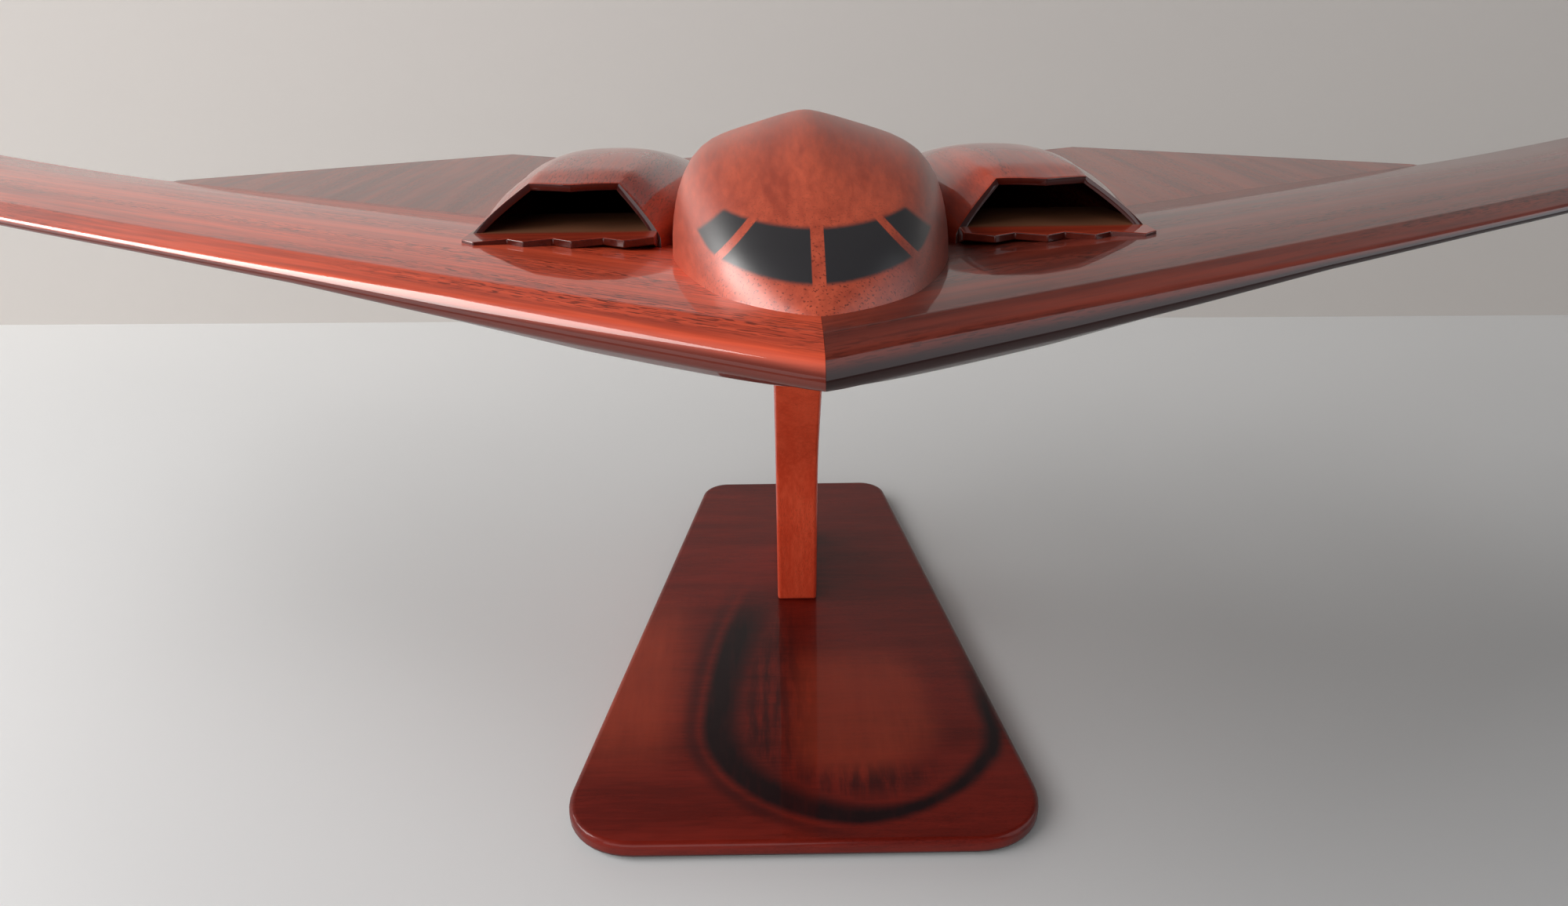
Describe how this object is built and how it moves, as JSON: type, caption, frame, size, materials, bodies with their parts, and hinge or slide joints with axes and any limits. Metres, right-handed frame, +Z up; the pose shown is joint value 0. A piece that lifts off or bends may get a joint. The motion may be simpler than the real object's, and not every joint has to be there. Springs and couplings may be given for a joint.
{
  "type": "flying-wing aircraft display model",
  "caption": "Lacquered wooden flying-wing aircraft model with a cockpit hump and two engine nacelles, resting on a peg in a curved post above a tapered wooden base.",
  "frame": {"origin": "centre of the felt pad's underside, on the surface the stand rests on", "axes": "+Z up, the aircraft's nose points to -Y, the span lies along X, +X is on the right as seen from in front of the nose"},
  "size_m": [0.52, 0.2325, 0.1459],
  "materials": {
    "wing_lacquer": "gloss clear lacquer over reddish mahogany, grain along the leading edge",
    "rear_body_lacquer": "gloss clear lacquer over darker mahogany",
    "hump_lacquer": "gloss clear lacquer, end-grain pores, window panes sprayed on in black",
    "nacelle_lacquer": "gloss clear lacquer over reddish mahogany",
    "lip_lacquer": "gloss clear lacquer over dark red mahogany",
    "base_lacquer": "gloss clear lacquer over dark figured mahogany",
    "post_lacquer": "semi-gloss lacquer over orange-red mahogany",
    "peg_steel": "plain turned steel",
    "screw_zinc": "zinc-plated steel",
    "felt": "dark green felt"
  },
  "bodies": {
    "stand": {"stand_base": "base_lacquer", "stand_post": "post_lacquer", "base_screw_front": "screw_zinc", "base_screw_rear": "screw_zinc", "felt_pad": "felt"},
    "peg": {"stand_peg": "peg_steel"},
    "aircraft": {"wing_left": "wing_lacquer", "wing_right": "wing_lacquer", "rear_body": "rear_body_lacquer", "cockpit_hump": "hump_lacquer", "nacelle_left": "nacelle_lacquer", "nacelle_right": "nacelle_lacquer", "intake_lip_left": "lip_lacquer", "intake_lip_right": "lip_lacquer"}
  },
  "joints": [
    {"name": "aircraft_swivel", "type": "hinge", "parent": "stand", "child": "peg", "pos_m": [0, -0.0442, 0.1135], "axis": [0, 0.1002, 0.995], "continuous": true},
    {"name": "aircraft_lift", "type": "slide", "parent": "peg", "child": "aircraft", "axis": [0, 0.1002, 0.995], "range_m": [0, 0.03]}
  ]
}
